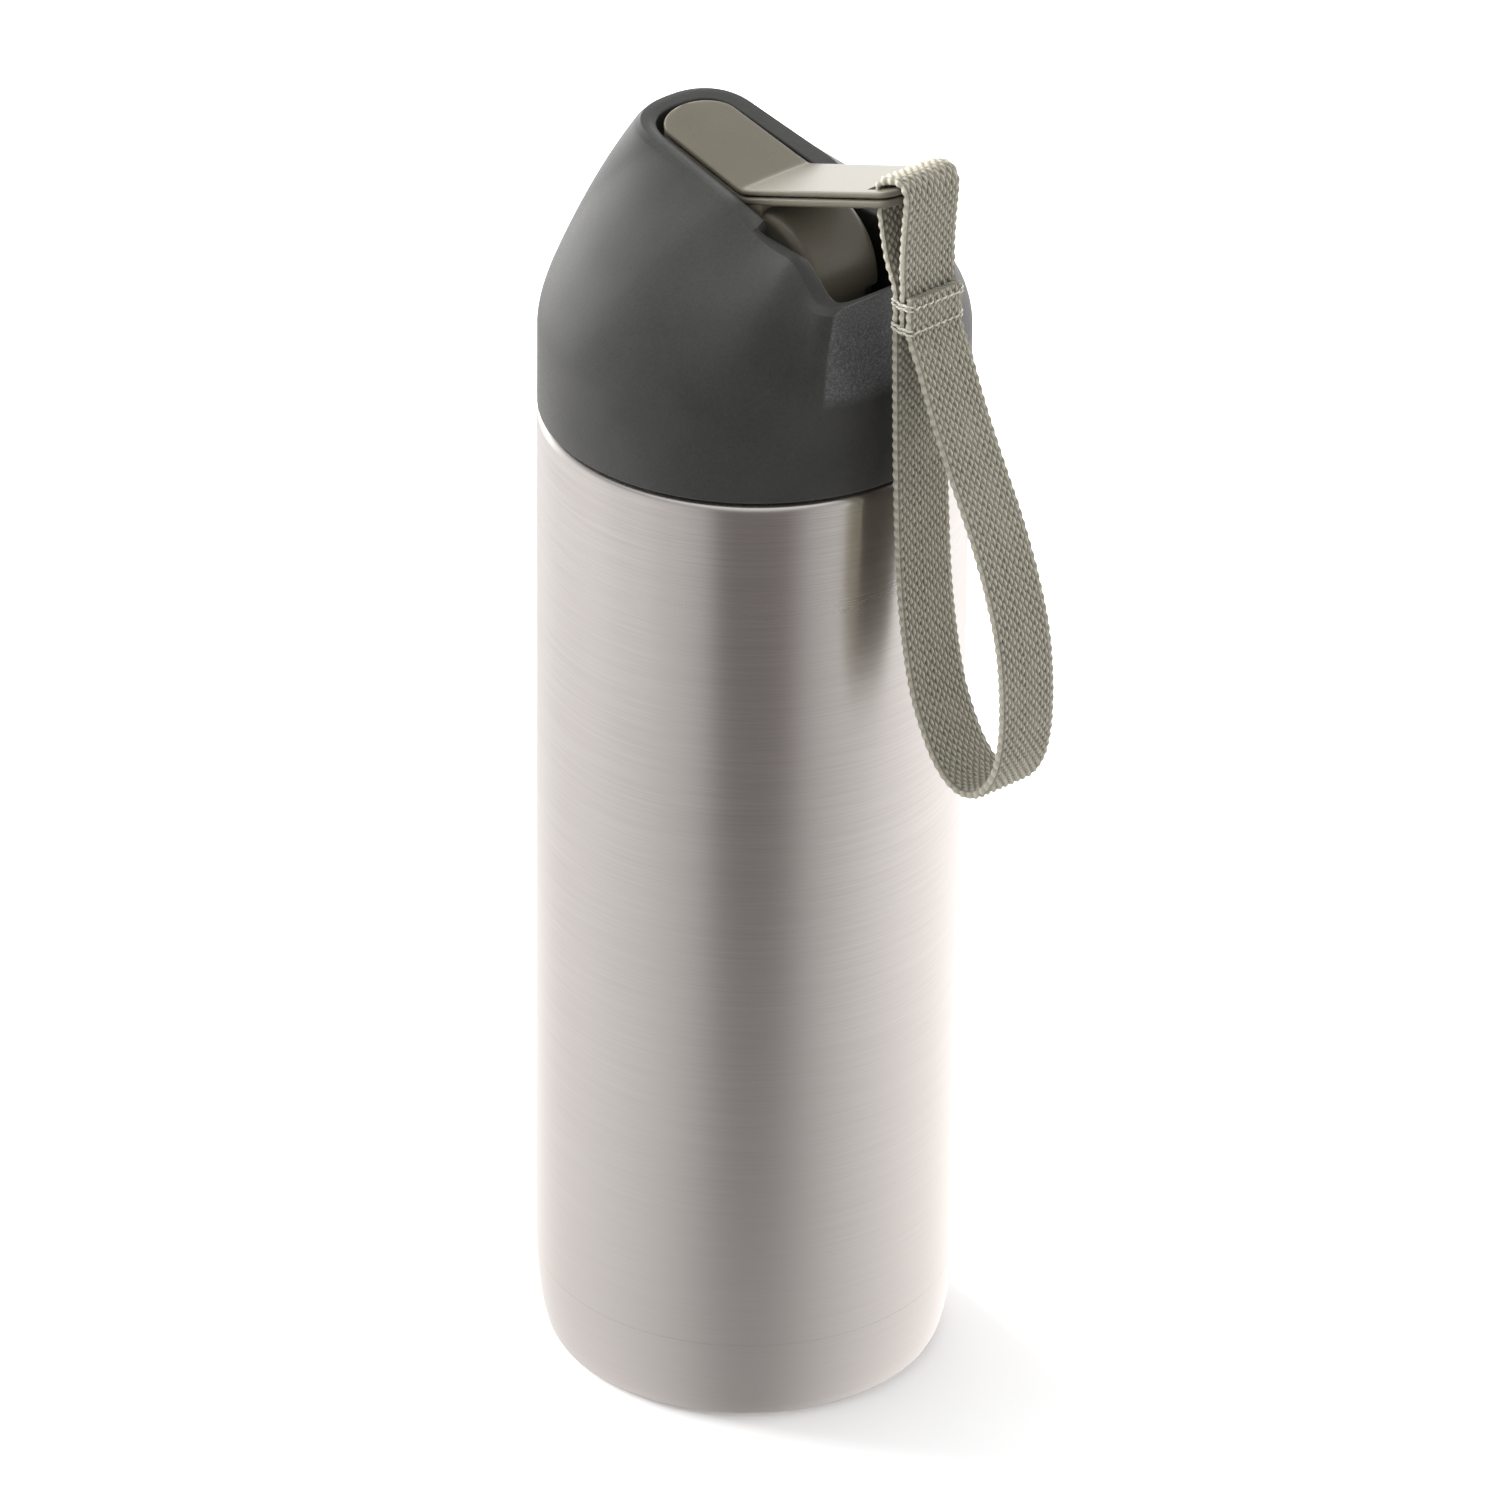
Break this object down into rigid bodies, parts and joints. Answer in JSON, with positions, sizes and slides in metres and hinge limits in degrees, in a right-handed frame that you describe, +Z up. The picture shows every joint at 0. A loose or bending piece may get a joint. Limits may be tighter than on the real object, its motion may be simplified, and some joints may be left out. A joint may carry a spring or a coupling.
{
  "type": "water bottle",
  "caption": "Double-walled steel drinking bottle with a screw cap, a flip-up spout worked by a tab, and a webbing wrist strap.",
  "frame": {"origin": "centre of the base, on the surface the bottle stands on", "axes": "+Z up along the bottle's axis; -Y is the front, where the spout's tab and the strap are; +X is to the right of someone facing the front"},
  "size_m": [0.066, 0.0956, 0.2177],
  "materials": {
    "brushed_steel": "fine circumferential brushing",
    "plain_steel": "satin",
    "cap_grey": "fine spark-eroded texture",
    "liner_grey": "moulded satin",
    "taupe": "satin",
    "silicone": "matte translucent",
    "webbing": "coarse plain-woven polyester webbing",
    "thread": "twisted sewing thread",
    "getter_alloy": "pressed metal powder"
  },
  "bodies": {
    "bottle": {"outer_shell": "brushed_steel", "base_cup": "brushed_steel", "inner_flask": "plain_steel", "vacuum_plug": "plain_steel", "getter": "getter_alloy", "base_disc": "plain_steel"},
    "gasket": {"mouth_gasket": "silicone"},
    "cap": {"cap_shell": "cap_grey", "cap_liner": "liner_grey", "spout_seal": "silicone", "vent_valve": "silicone", "hinge_pin_left": "plain_steel", "hinge_pin_right": "plain_steel"},
    "spout": {"spout_body": "taupe", "spout_cover": "taupe", "spout_tube": "silicone"},
    "strap": {"strap_upper_loop": "webbing", "strap_sewn_end": "webbing", "stitch_row_upper": "thread", "stitch_row_lower": "thread"},
    "wrist_loop": {"strap_wrist_loop": "webbing"}
  },
  "joints": [
    {"name": "cap_lift", "type": "slide", "parent": "bottle", "child": "gasket", "axis": [0, 0, 1], "range_m": [0, 0.006]},
    {"name": "cap_turn", "type": "hinge", "parent": "gasket", "child": "cap", "pos_m": [0, 0, 0.17], "axis": [0, 0, 1], "range_deg": [0, 540]},
    {"name": "spout_flip", "type": "hinge", "parent": "cap", "child": "spout", "pos_m": [0, -0.0094, 0.1903], "axis": [1, 0, 0], "range_deg": [0, 37]},
    {"name": "strap_hang", "type": "hinge", "parent": "spout", "child": "strap", "pos_m": [0, -0.0358, 0.21389], "axis": [1, 0, 0], "range_deg": [-42, 0]},
    {"name": "wrist_swing", "type": "hinge", "parent": "strap", "child": "wrist_loop", "pos_m": [0, -0.04075, 0.19185], "axis": [-1, 0, 0], "range_deg": [0, 35]}
  ],
  "couplings": [
    {"joint": "cap_lift", "follows": "cap_turn", "m_per_rad": 0.00063662},
    {"joint": "strap_hang", "follows": "spout_flip", "ratio": -1}
  ]
}
